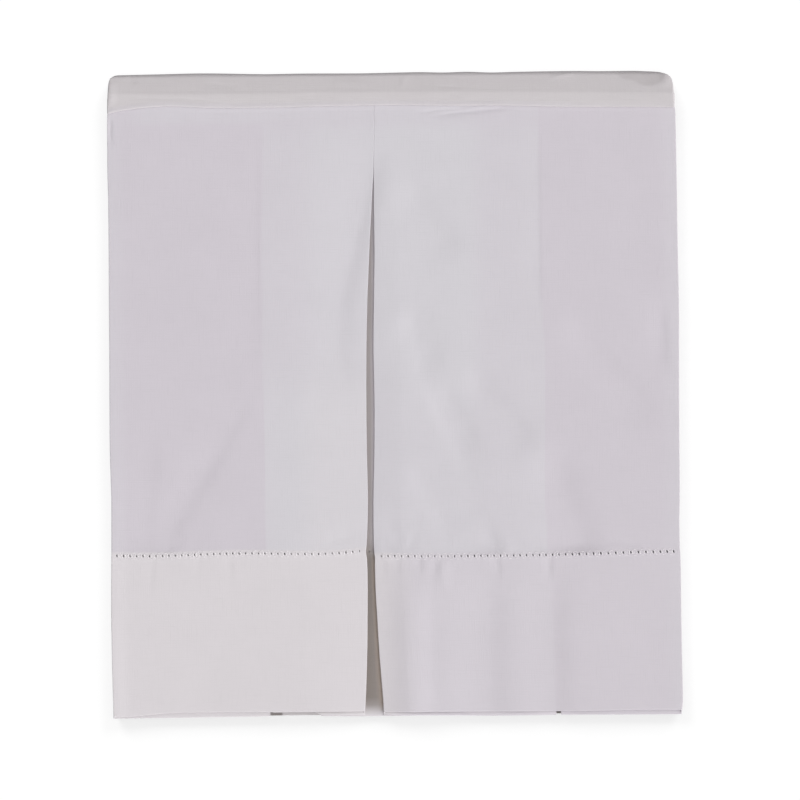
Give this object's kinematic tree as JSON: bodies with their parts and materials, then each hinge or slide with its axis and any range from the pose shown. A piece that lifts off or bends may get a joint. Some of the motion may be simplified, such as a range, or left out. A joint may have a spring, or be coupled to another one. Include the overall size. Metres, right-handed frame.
{
  "type": "bed skirt",
  "caption": "Folded tailored bed skirt lying face up: off-white cloth with an inverted box pleat, a deep hemstitched hem and a band of platform cloth rolled over its top edge",
  "frame": {"origin": "middle of the folded piece in X and Y, on the surface it rests on", "axes": "+X to the right of the pleated face, +Y up the face from the hem to the platform cloth's roll, +Z out of the face"},
  "size_m": [0.3579, 0.4035, 0.0079],
  "materials": {
    "skirt_cloth": "matte off-white cotton percale",
    "platform_cloth": "matte greyer cotton sheeting"
  },
  "bodies": {
    "root": {"skirt": "skirt_cloth", "platform": "platform_cloth"}
  },
  "joints": []
}
